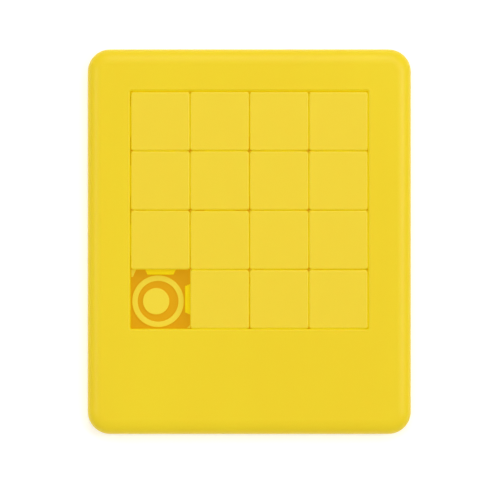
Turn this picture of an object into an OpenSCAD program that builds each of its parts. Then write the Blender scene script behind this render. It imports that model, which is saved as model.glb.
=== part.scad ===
// Sliding tile puzzle: fifteen blank tiles in a four by four tray, in a slim two-part moulded case.
// X runs to the right and Y up the face, Z comes out of the front, and the origin is the centre of the back.
// Each tile carries a tongue on its left and lower sides and a groove in its right and upper sides.
// The tray wall has a groove where the tiles have tongues, and a ridge where they have grooves.

/* [Case] */
// Width of the case
case_w = 84; // [82:1:96]
// Height of the case
case_h = 100; // [98:1:120]
// Thickness of the case
case_t = 6; // [6:0.5:8]
// Radius of the case's upright corners
case_corner_r = 5.8; // [4.6:0.1:6]
// How far the soft front edge reaches in over the face
edge_w = 4; // [2:0.5:4]
// How far the soft front edge falls down the side
edge_drop = 2.8; // [1:0.2:3]
// Thickness of the moulded shell
shell_t = 1.8; // [1.4:0.1:2]
// Frame left above the tray
top_margin = 10.85; // [10.5:0.05:14]
// Radius of the edge round the tray's mouth
mouth_edge_r = 0.5; // [0.2:0.1:0.6]

/* [Tiles] */
// Distance from one tile to the next
tile_pitch = 15.4; // [15.2:0.1:15.6]
// Gap between neighbouring tiles
tile_gap = 0.14; // [0.12:0.02:0.3]
// Radius of a tile's upright corners
tile_corner_r = 0.6; // [0.5:0.1:1]
// Radius of the edge round a tile's top
tile_edge_r = 0.4; // [0.2:0.1:0.4]
// Distance from the tile tops down to the case's face
tile_recess = 0.05; // [0:0.05:0.4]
// Thickness of a tile's top
tile_top_t = 1.2; // [1:0.1:1.4]
// Thickness of a tile's skirt and of the wall behind each groove
tile_skirt_t = 1.2; // [1:0.1:1.6]
// Thickness of the ribs under a tile
tile_rib_t = 1; // [0.8:0.1:1.4]

/* [Tongues and grooves] */
// How far a tongue stands out
tongue_len = 1.4; // [1:0.1:1.5]
// Width of a tongue where it leaves its tile
tongue_root_w = 8; // [6:0.5:10]
// Width of a tongue at its tip
tongue_tip_w = 6.8; // [4:0.2:6.8]
// Thickness of a tongue
tongue_t = 1.2; // [1:0.1:1.4]
// Play above and below a tongue in its groove
groove_play = 0.15; // [0.1:0.05:0.2]
// Spare depth of a groove beyond the tongue's tip
groove_spare = 0.2; // [0.2:0.05:0.3]

/* [Back plate] */
// Thickness of the back plate, which is also the tray's floor
plate_t = 1.2; // [1:0.1:1.4]
// Gap between the back plate and the case round it
seam = 0.1; // [0.05:0.05:0.2]
// Height of the glide rings and pads above the tray's floor
glide_h = 0.7; // [0.4:0.1:0.7]
// Outer diameter of a glide ring
ring_outer_d = 13.5; // [12:0.1:13.5]
// Inner diameter of a glide ring
ring_inner_d = 10.6; // [8:0.1:10.8]
// Diameter of the round pad inside a glide ring
pad_d = 6.9; // [4:0.1:7]
// How far each pad sits left of the middle of its ring
pad_shift = 0.5; // [0:0.1:0.6]
// How far each ring sits left of and below the middle of its cell
ring_shift = 0.65; // [0:0.05:0.7]
// Width of the glide wedge in a cell's upper left corner
wedge_w = 1.3; // [1:0.1:1.6]
// Height of the glide wedge
wedge_h = 2; // [1:0.1:2.2]
// Size of the glide in a cell's lower right corner
corner_glide_w = 0.8; // [0.6:0.1:1]

/* [Pins] */
// Diameter of the pins that hold the back plate
pin_d = 2; // [1.6:0.1:2.4]
// Diameter of the bosses that the pins go into
boss_d = 5; // [4.6:0.1:5.2]
// Play round a pin in its boss
pin_play = 0.04; // [0.02:0.01:0.08]
// Height of the pins above the back plate
pin_h = 2.5; // [1.5:0.25:2.5]

/* [Hidden] */
cells = 4;
case_yellow = [0.94, 0.83, 0.18];
tile_yellow = [0.95, 0.84, 0.23];
floor_amber = [0.88, 0.64, 0.06];
$fn = 64;
reach = 1; // how far a cutter runs past the surface that it cuts
bite = 0.6; // how far a tongue, ridge, wall, boss or rib runs into the shape that carries it
edge_steps = 12; // flats across the case's soft front edge
small_edge_steps = 4; // flats across a tile's top edge, and across the edge round the tray's mouth

tray_play = 0.1; // clearance from the grid of cells to the tray wall
tray_w = cells * tile_pitch + 2 * tray_play;
tray_y = case_h / 2 - top_margin - tray_w / 2;
tile_w = tile_pitch - tile_gap;
tile_play = 0.1; // clearance under a tile
tile_bottom = plate_t + glide_h + tile_play;
tile_top = case_t - tile_recess;

groove_depth = tongue_len + groove_spare;
tongue_low = (tile_bottom + tile_top - tongue_t) / 2;
groove_low = tongue_low - groove_play;
groove_h = tongue_t + 2 * groove_play;
tray_wall_t = groove_depth + tile_skirt_t;

hollow_top = case_t - shell_t;
hollow_w = case_w - 2 * shell_t;
hollow_h = case_h - 2 * shell_t;
hollow_r = case_corner_r - shell_t;
rib_t = 1.2;
rib_h = 2.2; // the ribs stiffen the blank panel and stop short of the back plate
rib_gap = 1.5; // room between the end of a rib and the nearest wall
rib_x = case_w / 4.5; // how far each rib stands to the side of the middle

glide_inset = 0.05; // keeps the corner glides of neighbouring cells apart
pad_gap = 0.3; // least room between a pad and its ring
pad_x = -min(pad_shift, (ring_inner_d - pad_d) / 2 - pad_gap);
boss_gap = 0.6; // room between a boss and the case's side, in a corner too
corner_room = max(0, hollow_r - boss_gap - boss_d / 2) * (1 - sqrt(0.5));
boss_inset = shell_t + boss_gap + boss_d / 2 + corner_room;
pin_end_gap = 0.3; // room beyond the end of a pin
pin_x = case_w / 2 - boss_inset;
pin_y = case_h / 2 - boss_inset;
pin_places = [
    for (x = [-pin_x, 0, pin_x], y = [-pin_y, pin_y]) [x, y],
    for (x = [-pin_x, pin_x]) [x, tray_y]
];

// Tiles are numbered in reading order, and the last row starts with the empty cell.

// Centre of a cell, counted from the left and from the top
function cell_centre(column, row) = [
    (column - (cells - 1) / 2) * tile_pitch,
    tray_y + ((cells - 1) / 2 - row) * tile_pitch
];

// Corner-to-face points of an edge that curves in by w and down by drop, from the side to the face
function edge_arc(w, drop, steps) =
    [for (i = [0:steps]) let (a = 90 * i / steps) [w * (cos(a) - 1), drop * (sin(a) - 1)]];

// Points up the rounded edge of the tray's mouth, from its wall to where it meets the face
mouth_arc = [
    for (i = [0:small_edge_steps]) let (a = 90 * i / small_edge_steps)
        [-mouth_edge_r * cos(a), mouth_edge_r * (sin(a) - 1)]
];

// Outline with square corners rounded to radius r
module rounded_rect(w, h, r) {
    square([w - 2 * r, h], center = true);
    square([w, h - 2 * r], center = true);
    for (x = [-1, 1], y = [-1, 1])
        translate([x * (w / 2 - r), y * (h / 2 - r)]) circle(r);
}

// Cross-section of a block of the given half width whose two top edges are rounded
module soft_section(half, low, high, arc) {
    polygon(concat(
        [[half, low]],
        [for (p = arc) [half + p.x, high + p.y]],
        [for (i = [len(arc) - 1:-1:0]) [-half - arc[i].x, high + arc[i].y]],
        [[-half, low]]
    ));
}

// Block with upright corners of radius r, and a rounded edge all round its top
module soft_block(w, h, low, high, r, arc) {
    rotate([90, 0, 0]) linear_extrude(h - 2 * r, center = true) soft_section(w / 2, low, high, arc);
    rotate([90, 0, 90]) linear_extrude(w - 2 * r, center = true) soft_section(h / 2, low, high, arc);
    for (quarter = [0:3])
        rotate(90 * quarter) translate([
            (quarter % 2 == 0 ? w : h) / 2 - r,
            (quarter % 2 == 0 ? h : w) / 2 - r,
            0
        ]) rotate_extrude(angle = 90)
            polygon(concat([[0, low], [r, low]], [for (p = arc) [r + p.x, high + p.y]], [[0, high]]));
}

// Tapered tongue on the left side of a tile
module tongue() {
    side = -tile_w / 2;
    root = side + bite;
    tip = side - tongue_len;
    translate([0, 0, tongue_low]) linear_extrude(tongue_t) polygon([
        [root, -tongue_root_w / 2], [side, -tongue_root_w / 2], [tip, -tongue_tip_w / 2],
        [tip, tongue_tip_w / 2], [side, tongue_root_w / 2], [root, tongue_root_w / 2]
    ]);
}

// Full-length groove in the right side of a tile
module tile_groove() {
    translate([tile_w / 2 - groove_depth, -tile_w / 2 - reach, groove_low])
        cube([groove_depth + reach, tile_w + 2 * reach, groove_h]);
}

// Four pockets that leave a skirt and a cross of ribs under a tile
module tile_pockets() {
    near = -tile_w / 2 + tile_skirt_t;
    far = tile_w / 2 - groove_depth - tile_skirt_t;
    side = (far - near - tile_rib_t) / 2;
    for (x = [near, far - side], y = [near, far - side])
        translate([x, y, tile_bottom - reach])
            cube([side, side, tile_top - tile_top_t - tile_bottom + reach]);
}

module tile(column, row) {
    color(tile_yellow) translate(cell_centre(column, row)) difference() {
        union() {
            soft_block(tile_w, tile_w, tile_bottom, tile_top, tile_corner_r,
                edge_arc(tile_edge_r, tile_edge_r, small_edge_steps));
            for (turn = [0, 90]) rotate(turn) tongue();
        }
        for (turn = [0, 90]) rotate(turn) tile_groove();
        tile_pockets();
    }
}

// Shell of the case: a face with its soft edge and four side walls, open at the back
module case_shell() {
    difference() {
        soft_block(case_w, case_h, 0, case_t, case_corner_r, edge_arc(edge_w, edge_drop, edge_steps));
        translate([0, 0, -reach]) linear_extrude(hollow_top + reach)
            rounded_rect(hollow_w, hollow_h, hollow_r);
    }
}

// Bosses that take the back plate's pins
module bosses() {
    for (place = pin_places)
        translate([place.x, place.y, plate_t]) cylinder(d = boss_d, h = hollow_top - plate_t + bite);
}

module pin_sockets() {
    for (place = pin_places)
        translate([place.x, place.y, plate_t - reach])
            cylinder(d = pin_d + 2 * pin_play, h = pin_h + pin_end_gap + reach);
}

// Ribs behind the blank panel under the tray, short of the walls at both ends
module panel_ribs() {
    low_end = -hollow_h / 2 + rib_gap;
    high_end = tray_y - tray_w / 2 - tray_wall_t - rib_gap;
    for (x = [-rib_x, rib_x])
        translate([x - rib_t / 2, low_end, hollow_top - rib_h])
            cube([rib_t, high_end - low_end, rib_h + bite]);
}

// Wall that stands round the tray, from the face down to the back plate
module tray_wall() {
    outer = tray_w + 2 * tray_wall_t;
    translate([-outer / 2, tray_y - outer / 2, plate_t])
        cube([outer, outer, hollow_top - plate_t + bite]);
}

// Grooves in the left and lower tray walls, for the tiles' tongues
module tray_grooves() {
    translate([0, tray_y, groove_low]) for (turn = [0, 90]) rotate(turn)
        translate([-tray_w / 2 - groove_depth, -tray_w / 2, 0])
            cube([groove_depth + reach, tray_w, groove_h]);
}

// Cross-section of the tray's hole, which opens in a rounded edge at the face
module mouth_section() {
    half = tray_w / 2;
    polygon(concat(
        [[-half, -reach], [half, -reach]],
        [for (p = mouth_arc) [half + mouth_edge_r + p.x, case_t + p.y]],
        [[half + mouth_edge_r, case_t + reach], [-half - mouth_edge_r, case_t + reach]],
        [for (i = [small_edge_steps:-1:0])
            [-half - mouth_edge_r - mouth_arc[i].x, case_t + mouth_arc[i].y]]
    ));
}

// The tray's hole: what two crossed runs of its section share
module tray_hole() {
    length = tray_w + 4 * mouth_edge_r;
    translate([0, tray_y, 0]) intersection() {
        rotate([90, 0, 0]) linear_extrude(length, center = true) mouth_section();
        rotate([90, 0, 90]) linear_extrude(length, center = true) mouth_section();
    }
}

// Ridges along the right and upper tray walls, for the tiles' grooves
module tray_ridges() {
    translate([0, tray_y, tongue_low]) for (turn = [0, 90]) rotate(turn)
        translate([tray_w / 2 - tongue_len, -tray_w / 2, 0])
            cube([tongue_len + bite, tray_w + bite, tongue_t]);
}

module front_frame() {
    color(case_yellow) union() {
        difference() {
            union() {
                case_shell();
                tray_wall();
                bosses();
                panel_ribs();
            }
            tray_hole();
            tray_grooves();
            pin_sockets();
        }
        tray_ridges();
    }
}

// What one tile glides on: a ring and a round pad, and a small glide in each of two corners of the cell
module glide() {
    half = tile_pitch / 2 - glide_inset;
    linear_extrude(glide_h) {
        translate([-ring_shift, -ring_shift]) {
            difference() {
                circle(d = ring_outer_d);
                circle(d = ring_inner_d);
            }
            translate([pad_x, 0]) circle(d = pad_d);
        }
        translate([-half, half])
            polygon([[0, 0], [0, -wedge_h], [wedge_w / 3, -wedge_h], [wedge_w, 0]]);
        translate([half, -half])
            polygon([[0, 0], [0, corner_glide_w], [-corner_glide_w, 0]]);
    }
}

module back_plate() {
    color(floor_amber) linear_extrude(plate_t)
        rounded_rect(hollow_w - 2 * seam, hollow_h - 2 * seam, hollow_r - seam);
    color(case_yellow) for (column = [0:cells - 1], row = [0:cells - 1])
        translate(concat(cell_centre(column, row), plate_t)) glide();
    color(case_yellow) for (place = pin_places)
        translate([place.x, place.y, plate_t]) cylinder(d = pin_d, h = pin_h);
}

front_frame();
back_plate();
tile(0, 0);  // tile_01
tile(1, 0);  // tile_02
tile(2, 0);  // tile_03
tile(3, 0);  // tile_04
tile(0, 1);  // tile_05
tile(1, 1);  // tile_06
tile(2, 1);  // tile_07
tile(3, 1);  // tile_08
tile(0, 2);  // tile_09
tile(1, 2);  // tile_10
tile(2, 2);  // tile_11
tile(3, 2);  // tile_12
tile(1, 3);  // tile_13
tile(2, 3);  // tile_14
tile(3, 3);  // tile_15
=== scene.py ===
"""Sliding tile puzzle: the looks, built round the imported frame.

The outlines below are in millimetres, as the design is, and each finished mesh is turned into metres.
Every moulding is a stack of outlines at rising or falling heights, with walls between them and flat
faces across them, so its rounded edges are in the mesh itself.
"""
import math
import random

import bmesh
import bpy
from mathutils import Euler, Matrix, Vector


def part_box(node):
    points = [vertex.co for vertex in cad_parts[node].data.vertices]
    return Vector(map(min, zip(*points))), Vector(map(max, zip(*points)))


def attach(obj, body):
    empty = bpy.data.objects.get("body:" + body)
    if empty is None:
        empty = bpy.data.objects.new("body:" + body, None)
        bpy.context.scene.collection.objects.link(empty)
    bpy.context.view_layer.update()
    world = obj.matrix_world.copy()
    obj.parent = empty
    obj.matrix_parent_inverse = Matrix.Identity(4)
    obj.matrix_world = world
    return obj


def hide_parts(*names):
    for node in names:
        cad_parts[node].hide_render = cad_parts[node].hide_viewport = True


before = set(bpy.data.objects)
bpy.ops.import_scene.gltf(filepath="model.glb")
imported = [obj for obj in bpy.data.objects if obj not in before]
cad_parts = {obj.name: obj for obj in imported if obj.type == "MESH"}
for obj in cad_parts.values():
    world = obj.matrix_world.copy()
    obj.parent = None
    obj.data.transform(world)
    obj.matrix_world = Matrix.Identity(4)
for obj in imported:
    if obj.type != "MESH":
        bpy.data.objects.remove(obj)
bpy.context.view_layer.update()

MM = 0.001  # metres in a millimetre


# ---------------------------------------------------------------- sizes, in millimetres

def box_mm(node):
    """Lowest and highest corner of a CAD node, in millimetres."""
    low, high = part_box(node)
    return low / MM, high / MM


TILES = sorted(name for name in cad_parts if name.startswith("tile_"))
TILE_BOX = {name: box_mm(name) for name in TILES}
FIRST_LOW, FIRST_HIGH = TILE_BOX["tile_01"]
CASE_LOW, CASE_HIGH = box_mm("front_frame")
PLATE_LOW, PLATE_HIGH = box_mm("back_plate")

CELLS = 4
PITCH = TILE_BOX["tile_02"][1].x - FIRST_HIGH.x
TILE_LOW, TILE_HIGH = FIRST_LOW.z, FIRST_HIGH.z

TONGUE_LEN = 1.4
TONGUE_ROOT_W = 8.0
TONGUE_TIP_W = 6.8
TONGUE_T = 1.2
TONGUE_EDGE = 0.15  # small flat along a tongue's and a ridge's tip
TONGUE_LOW = (TILE_LOW + TILE_HIGH - TONGUE_T) / 2
TONGUE_HIGH = TONGUE_LOW + TONGUE_T
GROOVE_PLAY = 0.15
GROOVE_LOW = TONGUE_LOW - GROOVE_PLAY
GROOVE_HIGH = TONGUE_HIGH + GROOVE_PLAY
GROOVE_SPARE = 0.2
GROOVE_DEPTH = TONGUE_LEN + GROOVE_SPARE

TILE_W = FIRST_HIGH.x - FIRST_LOW.x - TONGUE_LEN
TILE_CORNER_R = 0.6
TILE_EDGE_R = 0.4
TILE_FOOT = 0.15  # small flat all round a tile's lower edge
TILE_SKIRT_T = 1.2
TILE_TOP_T = 1.2
TILE_RIB_T = 1.0
TILE_POCKET_R = 0.4
SINK = 0.02  # how far the middle of a tile's top sinks as the plastic shrinks
DISH = ((5.6, 1.0), (3.4, 0.7), (1.4, 0.2))  # inset from the tile's side, and share of the sink there

CASE_CORNER_R = 5.8
CASE_EDGE_W = 4.0
CASE_EDGE_DROP = 2.8
CASE_FOOT = 0.2  # small flat all round the back edge of the frame, and of the plate
SHELL_T = 1.8
HOLLOW_TOP = CASE_HIGH.z - SHELL_T

TRAY_PLAY = 0.1
TRAY_W = CELLS * PITCH + 2 * TRAY_PLAY
TRAY_LEFT, TRAY_RIGHT = -TRAY_W / 2, TRAY_W / 2
TRAY_HIGH = FIRST_HIGH.y + (PITCH - TILE_W) / 2 + TRAY_PLAY
TRAY_LOW = TRAY_HIGH - TRAY_W
TRAY_CORNER_R = 0.3
TRAY_WALL_T = GROOVE_DEPTH + TILE_SKIRT_T
MOUTH_R = 0.5
OPEN_SHARE = 0.4  # how far down a gap's rounded edge the open light reaches

FLOOR = 1.2
GLIDE_PLAY = 0.1  # clearance from the glides up to the tiles
GLIDE_TOP = TILE_LOW - GLIDE_PLAY
GLIDE_EDGE_R = 0.15
RING_OUTER_R = 6.75
RING_INNER_R = 5.3
PAD_R = 3.45
PAD_SHIFT = 0.5
RING_SHIFT = 0.65
WEDGE_W = 1.3
WEDGE_FOOT_W = WEDGE_W / 3
WEDGE_H = 2.0
CORNER_GLIDE_W = 0.8
GLIDE_INSET = 0.05

PIN_R = 1.0
PIN_EDGE = 0.2  # small flat round the end of a pin
PIN_PLAY = 0.04
PIN_END_GAP = 0.3
BOSS_R = 2.5
BOSS_GAP = 0.6
RIB_T = 1.2
RIB_H = 2.2
RIB_GAP = 1.5
RIB_X = (CASE_HIGH.x - CASE_LOW.x) / 4.5  # how far each rib stands to the side of the middle
EJECTOR_R = 2.5
EJECTOR_DEPTH = 0.15
EJECTOR_X = PLATE_HIGH.x * 0.5  # how far each mark is to the side of the middle
EJECTOR_Y = PLATE_HIGH.y * 0.72  # how far the outer marks are above and below the middle

SAME = 1e-5  # points nearer than this are one point
LEAST_R = 0.1  # radius that an inset corner keeps
SHARP_ANGLE = 40  # least degrees between two faces that meet in a sharp edge

# How many flats a rounded shape is built of
ROUND_STEPS = 48
CASE_CORNER_STEPS = 14
CASE_EDGE_STEPS = 20
PLATE_CORNER_STEPS = 10
TILE_CORNER_STEPS = 6
SMALL_CORNER_STEPS = 4
EDGE_STEPS = 5
GLIDE_EDGE_STEPS = 3


# ---------------------------------------------------------------- outlines

def arc(x, y, radius, start, steps):
    """Points of a quarter circle, anticlockwise from an angle in degrees."""
    angles = [math.radians(start + 90 * step / steps) for step in range(steps + 1)]
    return [(x + radius * math.cos(a), y + radius * math.sin(a)) for a in angles]


def circle(x, y, radius):
    turns = [math.tau * step / ROUND_STEPS for step in range(ROUND_STEPS)]
    return [(x + radius * math.cos(a), y + radius * math.sin(a)) for a in turns]


def rectangle(left, low, right, high):
    return [(left, low), (right, low), (right, high), (left, high)]


def rounded_rect(left, low, right, high, radius, steps):
    """Outline of a rectangle with round corners, anticlockwise from its lower right corner."""
    return (arc(right - radius, low + radius, radius, -90, steps)
            + arc(right - radius, high - radius, radius, 0, steps)
            + arc(left + radius, high - radius, radius, 90, steps)
            + arc(left + radius, low + radius, radius, 180, steps))


def case_outline(inset):
    return rounded_rect(CASE_LOW.x + inset, CASE_LOW.y + inset,
                        CASE_HIGH.x - inset, CASE_HIGH.y - inset,
                        CASE_CORNER_R - inset, CASE_CORNER_STEPS)


def plate_outline(inset):
    return rounded_rect(PLATE_LOW.x + inset, PLATE_LOW.y + inset,
                        PLATE_HIGH.x - inset, PLATE_HIGH.y - inset,
                        CASE_CORNER_R - SHELL_T - inset, PLATE_CORNER_STEPS)


def tile_outline(inset=0.0, groove=0.0, tongue=0.0):
    """One level of a tile. The right and upper sides stand back by groove, and the tongues on the
    left and lower sides stand out by tongue. Every level has the same points, so that they join."""
    half = TILE_W / 2 - inset
    far = half - groove
    radius = max(TILE_CORNER_R - inset, LEAST_R)
    steps = TILE_CORNER_STEPS
    root, tip, turn = (
        min(along, half - radius)
        for along in (TONGUE_ROOT_W / 2, TONGUE_TIP_W / 2, TILE_W / 2 - GROOVE_DEPTH - TILE_CORNER_R)
    )
    return (arc(far - radius, radius - half, radius, -90, steps)
            + arc(far - radius, far - radius, radius, 0, steps)
            + arc(radius - half, far - radius, radius, 90, steps)
            + [(-half, turn), (-half, root), (-half - tongue, tip),
               (-half - tongue, -tip), (-half, -root)]
            + arc(radius - half, radius - half, radius, 180, steps)
            + [(-root, -half), (-tip, -half - tongue),
               (tip, -half - tongue), (root, -half), (turn, -half)])


def tray_outline(grow=0.0, groove=0.0, ridge=0.0):
    """One level of the tray wall. The left and lower walls stand back by groove, and the right and
    upper ones stand in by ridge. Every level has the same points, so that they join."""
    left, low = TRAY_LEFT - grow - groove, TRAY_LOW - grow - groove
    right, high = TRAY_RIGHT + grow - ridge, TRAY_HIGH + grow - ridge
    radius = TRAY_CORNER_R + grow
    steps = SMALL_CORNER_STEPS
    return (arc(right - radius, low + radius, radius, -90, steps)
            + [(right, TRAY_LOW + TRAY_CORNER_R)]
            + arc(right - radius, high - radius, radius, 0, steps)
            + [(TRAY_LEFT + TRAY_CORNER_R, high)]
            + arc(left + radius, high - radius, radius, 90, steps)
            + [(left, TRAY_HIGH - TONGUE_LEN - TRAY_CORNER_R)]
            + arc(left + radius, low + radius, radius, 180, steps)
            + [(TRAY_RIGHT - TONGUE_LEN - TRAY_CORNER_R, low)])


def round_edge(width, drop, steps):
    """(inset, height below the face) down a rounded edge, from the face to the side."""
    turns = [math.radians(90 * step / steps) for step in range(steps + 1)]
    return [(width * (1 - math.sin(a)), drop * (1 - math.cos(a))) for a in turns]


# ---------------------------------------------------------------- mesh building

class Moulding:
    """A closed mesh built from level outlines, the walls between them and flat faces across them."""

    def __init__(self):
        self.mesh = bmesh.new()

    def outline(self, points, z):
        """Vertices of a level outline. A point that repeats the one before it shares its vertex."""
        ring = []
        for x, y in points:
            spot = Vector((x, y, z))
            if ring and (ring[-1].co - spot).length < SAME:
                ring.append(ring[-1])
            else:
                ring.append(self.mesh.verts.new(spot))
        spare = ring[-1]
        if spare is not ring[0] and (ring[0].co - spare.co).length < SAME:
            ring = [ring[0] if vert is spare else vert for vert in ring]
            self.mesh.verts.remove(spare)
        return ring

    def wall(self, one, other):
        """Faces between two outlines of equally many points."""
        for i in range(len(one)):
            corners = list(dict.fromkeys((one[i - 1], one[i], other[i], other[i - 1])))
            if len(corners) > 2:
                self.mesh.faces.new(corners)

    def stack(self, levels):
        """Walls through a run of (points, height) levels. Returns the first and the last outline."""
        rings = [self.outline(points, z) for points, z in levels]
        for one, other in zip(rings, rings[1:]):
            self.wall(one, other)
        return rings[0], rings[-1]

    def flat(self, *rings):
        """A flat face inside the first outline and outside all the others."""
        sides = [side for ring in rings for side in zip(ring, ring[1:] + ring[:1])]
        pairs = [(start, end) for start, end in sides if start is not end]
        edges = [self.mesh.edges.get(pair) or self.mesh.edges.new(pair) for pair in pairs]
        bmesh.ops.triangle_fill(self.mesh, use_beauty=True, edges=edges)

    def data(self, name, materials, material_at):
        """The finished mesh, in metres. material_at names the material of a face from its centre."""
        bmesh.ops.remove_doubles(self.mesh, verts=self.mesh.verts, dist=SAME)
        bmesh.ops.recalc_face_normals(self.mesh, faces=self.mesh.faces)
        names = list(materials)
        for face in self.mesh.faces:
            face.material_index = names.index(material_at(face.calc_center_median()))
        bmesh.ops.scale(self.mesh, vec=(MM, MM, MM), verts=self.mesh.verts)
        data = bpy.data.meshes.new(name)
        self.mesh.to_mesh(data)
        self.mesh.free()
        for material in materials.values():
            data.materials.append(material)
        data.shade_smooth()
        data.set_sharp_from_angle(angle=math.radians(SHARP_ANGLE))
        return data


def piece(node, body, data):
    """A visible piece that stands for a CAD node and rides on a body."""
    obj = bpy.data.objects.new(node + "_moulding", data)
    bpy.context.scene.collection.objects.link(obj)
    obj.modifiers.new("even_shading", "WEIGHTED_NORMAL").keep_sharp = True
    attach(obj, body)
    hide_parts(node)
    return obj


# ---------------------------------------------------------------- mouldings

def material_down_a_gap(z, face):
    """Material at a height on a wall that bounds a gap between tiles or the mouth of the tray.
    Near the face it is the open plastic; lower down it is the gap plastic, whose glow is painted light,
    and below the grooves' top it is the shaded plastic, painted shade.
    """
    if z > face:
        return "open"
    return "gap" if z > GROOVE_HIGH else "shaded"


def tile_mesh(materials):
    tile = Moulding()
    dish = [(tile_outline(inset), TILE_HIGH - SINK * share) for inset, share in DISH]
    edge = [(tile_outline(inset), TILE_HIGH - drop)
            for inset, drop in round_edge(TILE_EDGE_R, TILE_EDGE_R, EDGE_STEPS)]
    tip = TONGUE_LEN - TONGUE_EDGE
    side = [
        (tile_outline(), GROOVE_HIGH),
        (tile_outline(groove=GROOVE_DEPTH), GROOVE_HIGH),
        (tile_outline(groove=GROOVE_DEPTH), TONGUE_HIGH),
        (tile_outline(groove=GROOVE_DEPTH, tongue=tip), TONGUE_HIGH),
        (tile_outline(groove=GROOVE_DEPTH, tongue=TONGUE_LEN), TONGUE_HIGH - TONGUE_EDGE),
        (tile_outline(groove=GROOVE_DEPTH, tongue=TONGUE_LEN), TONGUE_LOW + TONGUE_EDGE),
        (tile_outline(groove=GROOVE_DEPTH, tongue=tip), TONGUE_LOW),
        (tile_outline(groove=GROOVE_DEPTH), TONGUE_LOW),
        (tile_outline(groove=GROOVE_DEPTH), GROOVE_LOW),
        (tile_outline(), GROOVE_LOW),
        (tile_outline(), TILE_LOW + TILE_FOOT),
        (tile_outline(TILE_FOOT), TILE_LOW),
    ]
    middle, foot = tile.stack(dish + edge + side)
    tile.flat(middle)

    near = TILE_SKIRT_T - TILE_W / 2
    far = TILE_W / 2 - GROOVE_DEPTH - TILE_SKIRT_T
    width = (far - near - TILE_RIB_T) / 2
    mouths = []
    for x in (near, far - width):
        for y in (near, far - width):
            pocket = rounded_rect(x, y, x + width, y + width, TILE_POCKET_R, SMALL_CORNER_STEPS)
            mouth, ceiling = tile.stack([(pocket, TILE_LOW), (pocket, TILE_HIGH - TILE_TOP_T)])
            tile.flat(ceiling)
            mouths.append(mouth)
    tile.flat(foot, *mouths)

    face = TILE_HIGH - TILE_EDGE_R * OPEN_SHARE
    corner = TILE_W / 2 - TILE_CORNER_R

    def material_at(spot):
        """Hardly any light gets through to the hole where four tiles meet."""
        name = material_down_a_gap(spot.z, face)
        # The corner holes take the shaded plastic, painted shade, in place of the glowing gap plastic.
        return "shaded" if name == "gap" and min(abs(spot.x), abs(spot.y)) > corner else name

    return tile.data("tile", materials, material_at)


def pin_places():
    """Where the back plate's pins go into the frame's bosses, clear of the round corners too."""
    corner_room = (CASE_CORNER_R - SHELL_T - BOSS_GAP - BOSS_R) * (1 - math.sqrt(0.5))
    inset = SHELL_T + BOSS_GAP + BOSS_R + corner_room
    x = CASE_HIGH.x - inset
    y = CASE_HIGH.y - inset
    middle = (TRAY_LOW + TRAY_HIGH) / 2
    return [(px, py) for px in (-x, 0, x) for py in (-y, y)] + [(-x, middle), (x, middle)]


def frame_mesh(materials):
    case = Moulding()
    top = CASE_HIGH.z
    soft_edge = [(case_outline(inset), top - drop)
                 for inset, drop in round_edge(CASE_EDGE_W, CASE_EDGE_DROP, CASE_EDGE_STEPS)]
    face, rim = case.stack(soft_edge + [(case_outline(0), CASE_FOOT), (case_outline(CASE_FOOT), 0)])

    mouth_edge = [(tray_outline(grow), top - drop)
                  for grow, drop in round_edge(MOUTH_R, MOUTH_R, EDGE_STEPS)]
    crest = TONGUE_LEN - TONGUE_EDGE
    tray_side = [
        (tray_outline(), GROOVE_HIGH),
        (tray_outline(groove=GROOVE_DEPTH), GROOVE_HIGH),
        (tray_outline(groove=GROOVE_DEPTH), TONGUE_HIGH),
        (tray_outline(groove=GROOVE_DEPTH, ridge=crest), TONGUE_HIGH),
        (tray_outline(groove=GROOVE_DEPTH, ridge=TONGUE_LEN), TONGUE_HIGH - TONGUE_EDGE),
        (tray_outline(groove=GROOVE_DEPTH, ridge=TONGUE_LEN), TONGUE_LOW + TONGUE_EDGE),
        (tray_outline(groove=GROOVE_DEPTH, ridge=crest), TONGUE_LOW),
        (tray_outline(groove=GROOVE_DEPTH), TONGUE_LOW),
        (tray_outline(groove=GROOVE_DEPTH), GROOVE_LOW),
        (tray_outline(), GROOVE_LOW),
        (tray_outline(), FLOOR),
    ]
    mouth, tray_foot = case.stack(mouth_edge + tray_side)
    case.flat(face, mouth)

    behind = rectangle(TRAY_LEFT - TRAY_WALL_T, TRAY_LOW - TRAY_WALL_T,
                       TRAY_RIGHT + TRAY_WALL_T, TRAY_HIGH + TRAY_WALL_T)
    wall_foot, wall_root = case.stack([(behind, FLOOR), (behind, HOLLOW_TOP)])
    case.flat(wall_foot, tray_foot)

    roots = [wall_root]
    for x, y in pin_places():
        boss = circle(x, y, BOSS_R)
        bore = circle(x, y, PIN_R + PIN_PLAY)
        boss_foot, boss_root = case.stack([(boss, FLOOR), (boss, HOLLOW_TOP)])
        bore_mouth, bore_end = case.stack([(bore, FLOOR), (bore, PLATE_HIGH.z + PIN_END_GAP)])
        case.flat(boss_foot, bore_mouth)
        case.flat(bore_end)
        roots.append(boss_root)

    rib_low = CASE_LOW.y + SHELL_T + RIB_GAP
    rib_high = TRAY_LOW - TRAY_WALL_T - RIB_GAP
    for x in (-RIB_X, RIB_X):
        rib = rectangle(x - RIB_T / 2, rib_low, x + RIB_T / 2, rib_high)
        rib_crest, rib_root = case.stack([(rib, HOLLOW_TOP - RIB_H), (rib, HOLLOW_TOP)])
        case.flat(rib_crest)
        roots.append(rib_root)

    hollow, hollow_mouth = case.stack([(case_outline(SHELL_T), HOLLOW_TOP), (case_outline(SHELL_T), 0)])
    case.flat(hollow, *roots)
    case.flat(rim, hollow_mouth)

    middle = (TRAY_LOW + TRAY_HIGH) / 2
    reach = TRAY_RIGHT + GROOVE_DEPTH + SAME

    # Inside the tray the walls take the gap plastics by height: painted light in the glowing gap
    # plastic, painted shade in the shaded one.
    def material_at(spot):
        if max(abs(spot.x), abs(spot.y - middle)) > reach:
            return "open"
        return material_down_a_gap(spot.z, top - MOUTH_R * OPEN_SHARE)

    return case.data("front_frame", materials, material_at)


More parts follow.
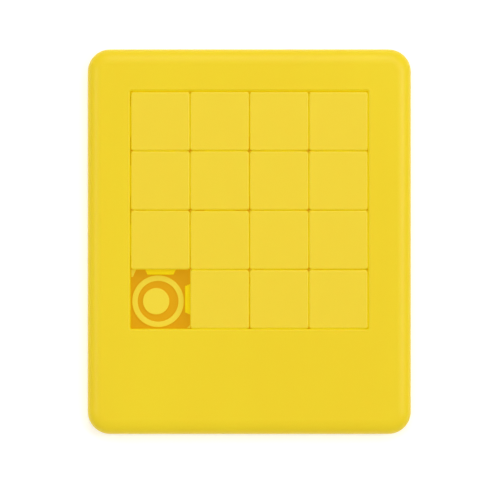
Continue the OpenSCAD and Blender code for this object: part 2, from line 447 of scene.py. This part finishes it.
def raise_glide(plate, outline_at):
    """Sides and rounded top edge of one raised glide. Returns its outline on the floor and its top."""
    edge = [(outline_at(inset), GLIDE_TOP - drop)
            for inset, drop in round_edge(GLIDE_EDGE_R, GLIDE_EDGE_R, GLIDE_EDGE_STEPS)]
    top, foot = plate.stack(edge + [(outline_at(0), FLOOR)])
    return foot, top


def cell_centre(column, row):
    x = TRAY_LEFT + TRAY_PLAY + (column + 0.5) * PITCH
    y = TRAY_HIGH - TRAY_PLAY - (row + 0.5) * PITCH
    return x, y


def add_glides(plate, column, row):
    """The ring, pad and corner glides of one cell. Returns the outlines that they cut from the floor."""
    cell_x, cell_y = cell_centre(column, row)
    x, y = cell_x - RING_SHIFT, cell_y - RING_SHIFT
    half = PITCH / 2 - GLIDE_INSET

    ring_foot, ring_top = raise_glide(plate, lambda inset: circle(x, y, RING_OUTER_R - inset))
    bore_foot, bore_top = raise_glide(plate, lambda inset: circle(x, y, RING_INNER_R + inset))
    plate.flat(ring_top, bore_top)
    pad_foot, pad_top = raise_glide(plate, lambda inset: circle(x - PAD_SHIFT, y, PAD_R - inset))
    plate.flat(pad_top)
    plate.flat(bore_foot, pad_foot)

    def wedge(inset):
        left, high = cell_x - half, cell_y + half
        foot = high - WEDGE_H + inset
        return [(left + inset, high - inset), (left + inset, foot),
                (left + WEDGE_FOOT_W - inset, foot), (left + WEDGE_W - inset * 2, high - inset)]

    def corner(inset):
        right, low = cell_x + half, cell_y - half
        return [(right - inset, low + inset), (right - inset, low + CORNER_GLIDE_W - inset * 2),
                (right - CORNER_GLIDE_W + inset * 2, low + inset)]

    feet = [ring_foot]
    for shape in (wedge, corner):
        foot, top = raise_glide(plate, shape)
        plate.flat(top)
        feet.append(foot)
    return feet


def plate_mesh(materials):
    plate = Moulding()
    back, floor_edge = plate.stack([
        (plate_outline(CASE_FOOT), 0),
        (plate_outline(0), CASE_FOOT),
        (plate_outline(0), FLOOR)])

    feet = []
    for column in range(CELLS):
        for row in range(CELLS):
            feet += add_glides(plate, column, row)
    for x, y in pin_places():
        pin = [(circle(x, y, PIN_R), FLOOR), (circle(x, y, PIN_R), PLATE_HIGH.z - PIN_EDGE),
               (circle(x, y, PIN_R - PIN_EDGE), PLATE_HIGH.z)]
        pin_foot, pin_end = plate.stack(pin)
        plate.flat(pin_end)
        feet.append(pin_foot)
    plate.flat(floor_edge, *feet)

    marks = []
    for x in (-EJECTOR_X, EJECTOR_X):
        for y in (-EJECTOR_Y, 0, EJECTOR_Y):
            mouth, bottom = plate.stack([
                (circle(x, y, EJECTOR_R), 0),
                (circle(x, y, EJECTOR_R - EJECTOR_DEPTH), EJECTOR_DEPTH)])
            plate.flat(bottom)
            marks.append(mouth)
    plate.flat(back, *marks)

    # Glide tops and the tray floor take glowing plastics: painted light that lifts the shade down in the
    # tray.
    def material_at(spot):
        if spot.z > GLIDE_TOP - GLIDE_EDGE_R:
            return "glide"
        return "floor" if spot.z > FLOOR - SAME else "open"

    return plate.data("back_plate", materials, material_at)


# ---------------------------------------------------------------- materials

class Nodes:
    """Short calls for a material's nodes: an input is a value, or the output that it is linked to."""

    def __init__(self, name):
        self.material = bpy.data.materials.new(name)
        self.material.use_nodes = True
        self.tree = self.material.node_tree
        self.shader = self.tree.nodes["Principled BSDF"]

    def set(self, node, inputs):
        for name, value in inputs.items():
            if isinstance(value, bpy.types.NodeSocket):
                self.tree.links.new(value, node.inputs[name])
            else:
                node.inputs[name].default_value = value
        return node

    def add(self, kind, inputs, **settings):
        node = self.tree.nodes.new(kind)
        for name, value in settings.items():
            setattr(node, name, value)
        return self.set(node, inputs)

    def math(self, operation, *values):
        inputs = dict(enumerate(values))
        return self.add("ShaderNodeMath", inputs, operation=operation).outputs["Value"]

    def noise(self, place, scale, detail=2.0):
        inputs = {"Vector": place, "Scale": scale, "Detail": detail}
        return self.add("ShaderNodeTexNoise", inputs).outputs["Fac"]

    def ramp(self, value, low, high, to_low=0.0, to_high=1.0):
        inputs = {"Value": value, "From Min": low, "From Max": high, "To Min": to_low, "To Max": to_high}
        return self.add("ShaderNodeMapRange", inputs).outputs["Result"]

    def mix(self, factor, one, other):
        """Colour between one and other. Inputs 6 and 7 are the node's colour inputs."""
        node = self.add("ShaderNodeMix", {"Factor": factor}, data_type="RGBA")
        for index, value in ((6, one), (7, other)):
            if isinstance(value, bpy.types.NodeSocket):
                self.tree.links.new(value, node.inputs[index])
            else:
                node.inputs[index].default_value = (*value, 1)
        return node.outputs[2]

    def bump(self, height, distance, strength, normal=None):
        inputs = {"Height": height, "Distance": distance, "Strength": strength}
        if normal:
            inputs["Normal"] = normal
        return self.add("ShaderNodeBump", inputs).outputs["Normal"]


def per_mm(count):
    """Noise scale that gives that many grains in a millimetre."""
    return count / MM


def moulded_plastic(name, face, flow, gloss, glow=0.0):
    """Satin injection-moulded plastic. Flow is the slightly different yellow that streaks it.

    Glow is painted light: light of its own, in place of light that comes through thin plastic. It gives
    most of the brightness of the gaps, the glides and the tray floor, so they stay bright in a dim
    scene, where shade falls."""
    n = Nodes(name)
    place = n.add("ShaderNodeTexCoord", {}).outputs["Object"]

    # Streaks about 20 mm wide, drawn out along the case as the plastic flowed into the mould
    drawn = n.add("ShaderNodeMapping", {"Vector": place, "Scale": (1, 0.35, 1)}).outputs["Vector"]
    streaks = n.ramp(n.noise(drawn, per_mm(0.05), 3.0), 0.35, 0.65)

    # Fine grain, slow waves, and thin slanting scuffs a few millimetres long
    grain = n.noise(place, per_mm(5.0), 3.0)
    waves = n.noise(place, per_mm(0.12), 1.0)
    slant = {"Vector": place, "Scale": (6, 0.25, 1), "Rotation": (0, 0, math.radians(24))}
    slanted = n.add("ShaderNodeMapping", slant).outputs["Vector"]
    scuffs = n.ramp(n.noise(slanted, per_mm(1.1), 1.0), 0.66, 0.72)
    worn = n.math("ADD", n.ramp(grain, 0.3, 0.7, 0.34, 0.42), n.ramp(scuffs, 0, 1, 0, 0.06))
    normal = n.bump(waves, 0.6 * MM, 0.08)
    normal = n.bump(scuffs, 0.004 * MM, 0.4, normal)
    normal = n.bump(grain, 0.02 * MM, 0.35, normal)

    n.set(n.shader, {
        "Base Color": n.mix(streaks, face, flow),
        "Roughness": worn,
        "Normal": normal,
        "IOR": 1.5,
        "Specular IOR Level": gloss,
        "Subsurface Weight": 0.12,
        "Subsurface Radius": (1.0, 0.55, 0.08),
        "Subsurface Scale": 1.2 * MM,
        "Emission Color": (*face, 1),
        "Emission Strength": glow,
    })
    return n.material


def floor_material():
    """Plain white studio paper with a faint tooth, and an even light of its own that keeps it white."""
    n = Nodes("studio_floor")
    place = n.add("ShaderNodeTexCoord", {}).outputs["Object"]
    tooth = n.noise(place, per_mm(0.5))
    n.set(n.shader, {
        "Base Color": n.mix(tooth, (0.93, 0.93, 0.93), (0.96, 0.96, 0.96)),
        "Roughness": 0.9,
        "Specular IOR Level": 0.1,
        "Emission Color": (1, 1, 1, 1),
        "Emission Strength": 0.27,
        "Normal": n.bump(tooth, 0.05 * MM, 0.2),
    })
    return n.material


# ---------------------------------------------------------------- the puzzle

# All the tiles lie a little to the right and down in the play of the tray, in millimetres
LEAN_X = 0.04
LEAN_Y = -0.10
JITTER = 0.02  # millimetres that a tile may sit off its place, each way
TURN = 0.12  # degrees that it may be turned, each way
LOW_TILE = "tile_10"  # this one sags on its left side, and opens the gaps above and beside it
SAG = (0.025, -0.065, 0.2)  # millimetres to the right, millimetres up, degrees


def build_puzzle():
    case = moulded_plastic("case_plastic", (0.88, 0.66, 0.006), (0.87, 0.64, 0.005), 0.35)
    tile = moulded_plastic("tile_plastic", (0.885, 0.66, 0.012), (0.875, 0.64, 0.010), 0.5)
    # Gap walls: a dark base with a strong glow, painted light that keeps the gaps between tiles bright
    # where shade falls.
    gap = moulded_plastic("gap_plastic_painted_glow", (0.25, 0.209, 0.001), (0.245, 0.204, 0.001), 0.15, 2.65)
    # Grooves, tongues and the holes where four tiles meet: a deeper yellow with little gloss, painted
    # shade, and a faint glow, painted light.
    shaded = moulded_plastic("shaded_plastic", (0.84, 0.63, 0.001), (0.83, 0.61, 0.001), 0.1, 0.075)
    # Glide tops: a dark base with a glow, painted light that lifts the shade of the tile walls around
    # them.
    glide = moulded_plastic("glide_plastic_painted_glow", (0.40, 0.31, 0.012), (0.39, 0.30, 0.010), 0.4, 1.2)
    # Tray floor: a dark amber base with a strong glow, painted light that stands in for light through
    # the thin floor and lifts its shade.
    floor = moulded_plastic("tray_floor_painted_glow", (0.28, 0.14, 0.0008), (0.27, 0.13, 0.0008), 0.1, 1.75)

    frame_shape = frame_mesh({"open": case, "gap": gap, "shaded": shaded})
    piece("front_frame", "case", frame_shape)
    plate_shape = plate_mesh({"open": case, "glide": glide, "floor": floor})
    piece("back_plate", "case", plate_shape)

    tile_shape = tile_mesh({"open": tile, "gap": gap, "shaded": shaded})
    draw = random.Random(15)
    for name in TILES:
        high = TILE_BOX[name][1]
        x, y = high.x - TILE_W / 2, high.y - TILE_W / 2
        own = [draw.uniform(-most, most) for most in (JITTER, JITTER, TURN)]
        dx, dy, turn = SAG if name == LOW_TILE else own
        moulding = piece(name, name, tile_shape)
        moulding.location = Vector((x + LEAN_X + dx, y + LEAN_Y + dy, 0)) * MM
        moulding.rotation_euler = Euler((0, 0, math.radians(turn)))


# ---------------------------------------------------------------- studio

FLOOR_REACH = 3000.0  # millimetres
FLOOR_DROP = 0.01
FLOOR_LIP = 0.4  # how far the floor runs in under the case

VIEW_W = 0.13003  # metres across the picture, halfway up the case
AIM_X = 0.00018  # metres from the puzzle's middle to the point right under the camera
AIM_Y = -0.00216
LENS = 300.0
SENSOR = 36.0


def add_camera():
    """Straight above, through a long lens, with the puzzle a little above the middle."""
    data = bpy.data.cameras.new("camera")
    data.lens, data.sensor_width = LENS, SENSOR
    data.clip_end = 10
    camera = bpy.data.objects.new("camera", data)
    distance = VIEW_W * LENS / SENSOR
    camera.location = (AIM_X, AIM_Y, CASE_HIGH.z / 2 * MM + distance)
    bpy.context.scene.collection.objects.link(camera)
    bpy.context.scene.camera = camera


def add_softbox(name, place, size, power):
    """Round softbox that faces the puzzle. Its place and size are in metres, its power in watts."""
    data = bpy.data.lights.new(name, "AREA")
    data.shape, data.size, data.energy = "DISK", size, power
    light = bpy.data.objects.new(name, data)
    light.location = place
    light.rotation_euler = Vector(place).to_track_quat("Z", "Y").to_euler()
    bpy.context.scene.collection.objects.link(light)


def add_sky(horizon, zenith):
    """White surroundings, brighter overhead and underneath than at the horizon."""
    world = bpy.data.worlds.new("studio")
    world.use_nodes = True
    nodes, links = world.node_tree.nodes, world.node_tree.links
    direction = nodes.new("ShaderNodeTexCoord").outputs["Generated"]
    split = nodes.new("ShaderNodeSeparateXYZ")
    steepness = nodes.new("ShaderNodeMath")
    steepness.operation = "ABSOLUTE"
    fade = nodes.new("ShaderNodeMapRange")
    fade.inputs["To Min"].default_value, fade.inputs["To Max"].default_value = horizon, zenith
    links.new(direction, split.inputs["Vector"])
    links.new(split.outputs["Z"], steepness.inputs[0])
    links.new(steepness.outputs["Value"], fade.inputs["Value"])
    nodes["Background"].inputs["Color"].default_value = (1, 1, 1, 1)
    links.new(fade.outputs["Result"], nodes["Background"].inputs["Strength"])
    bpy.context.scene.world = world


def build_floor():
    """Sheet of studio paper. It is cut away under the case, so that the case's back shows from below."""
    sheet = Moulding()
    edge = rectangle(-FLOOR_REACH, -FLOOR_REACH, FLOOR_REACH, FLOOR_REACH)
    hole = case_outline(CASE_FOOT + FLOOR_LIP)
    sheet.flat(sheet.outline(edge, -FLOOR_DROP), sheet.outline(hole, -FLOOR_DROP))
    data = sheet.data("floor", {"paper": floor_material()}, lambda spot: "paper")
    floor = bpy.data.objects.new("floor", data)
    bpy.context.scene.collection.objects.link(floor)


def build_studio():
    build_floor()

    add_sky(0.41, 0.77)
    add_softbox("right", (0.82, 0.10, 0.94), 0.25, 2.1)
    add_softbox("top", (0.10, 0.78, 0.90), 0.7, 2.75)
    add_softbox("left", (-0.80, 0.05, 0.92), 0.3, 1.3)
    add_softbox("overhead", (0.55, 0.40, 1.10), 0.6, 1.0)
    add_softbox("under", (-0.25, 0.35, -0.95), 0.6, 2.9)
    bpy.context.scene.view_settings.view_transform = "Standard"


build_puzzle()
build_studio()
add_camera()
